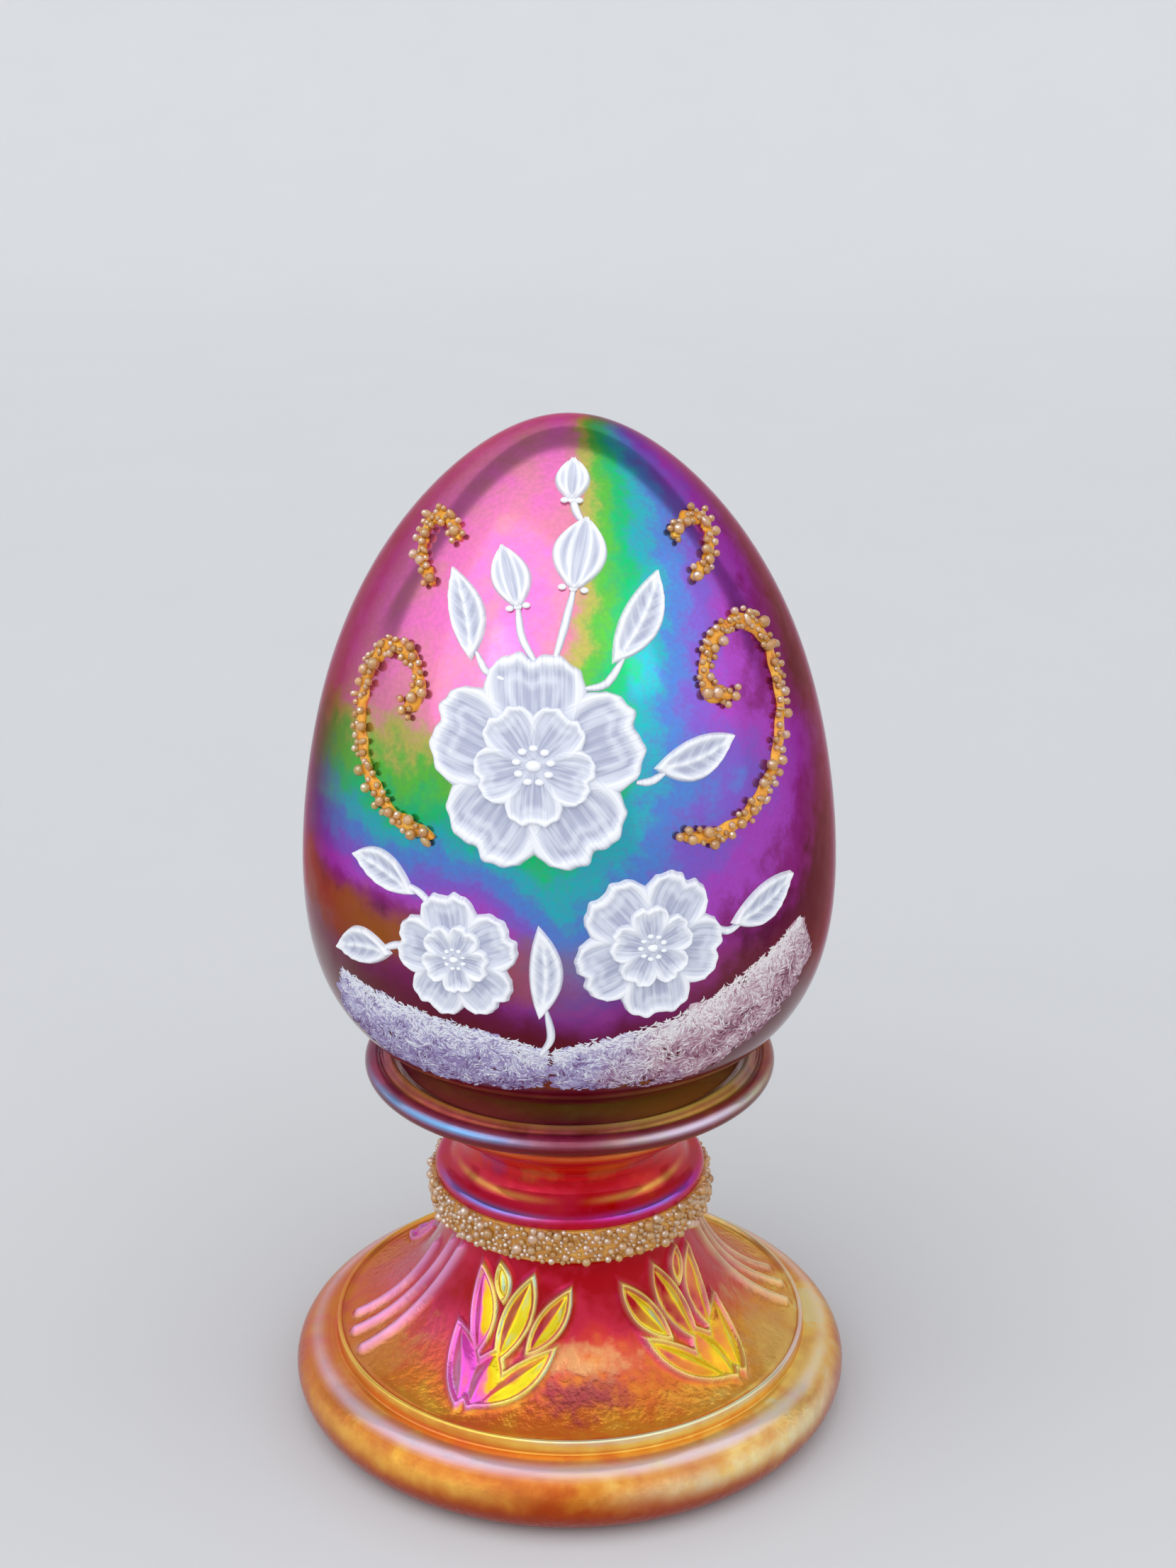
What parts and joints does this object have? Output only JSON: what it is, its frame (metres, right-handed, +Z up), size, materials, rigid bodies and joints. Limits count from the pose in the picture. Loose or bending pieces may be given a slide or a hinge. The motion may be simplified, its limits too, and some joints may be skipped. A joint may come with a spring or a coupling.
{
  "type": "glass egg",
  "caption": "Hollow glass egg resting loose in the shallow cup of a pressed glass pedestal, with raised enamel flowers, beaded gold scrolls and a beaded neck band.",
  "frame": {"origin": "middle of the underside of the foot, on the surface the object stands on", "axes": "+Z up through the egg, decorated front facing -Y, +X to the right of someone who looks at the front"},
  "size_m": [0.0748, 0.075, 0.1341],
  "materials": {
    "amber_glass": "iridescent pressed glass, amber foot to ruby neck",
    "ruby_glass": "iridescent satin-sheen ruby glass",
    "gold_beads": "gold enamel with clear pinkish glass beads",
    "white_enamel": "raised white enamel, semi-gloss",
    "pale_stipple": "dabbed pale enamel, matt"
  },
  "bodies": {
    "stand": {"pedestal_stand": "amber_glass", "neck_bead_band": "gold_beads"},
    "egg": {"egg_shell": "ruby_glass", "blossom_large": "white_enamel", "blossom_middle": "white_enamel", "blossom_small": "white_enamel", "leaf_1": "white_enamel", "leaf_2": "white_enamel", "leaf_3": "white_enamel", "leaf_4": "white_enamel", "leaf_5": "white_enamel", "leaf_6": "white_enamel", "leaf_7": "white_enamel", "bud_1": "white_enamel", "bud_2": "white_enamel", "bud_3": "white_enamel", "gold_scroll_left": "gold_beads", "gold_scroll_right": "gold_beads", "gold_scroll_small_left": "gold_beads", "gold_scroll_small_right": "gold_beads", "stipple_left": "pale_stipple", "stipple_right": "pale_stipple"}
  },
  "joints": [
    {"name": "egg_lift", "type": "slide", "parent": "stand", "child": "egg", "axis": [0, 0, 1], "range_m": [0, 0.03]}
  ]
}
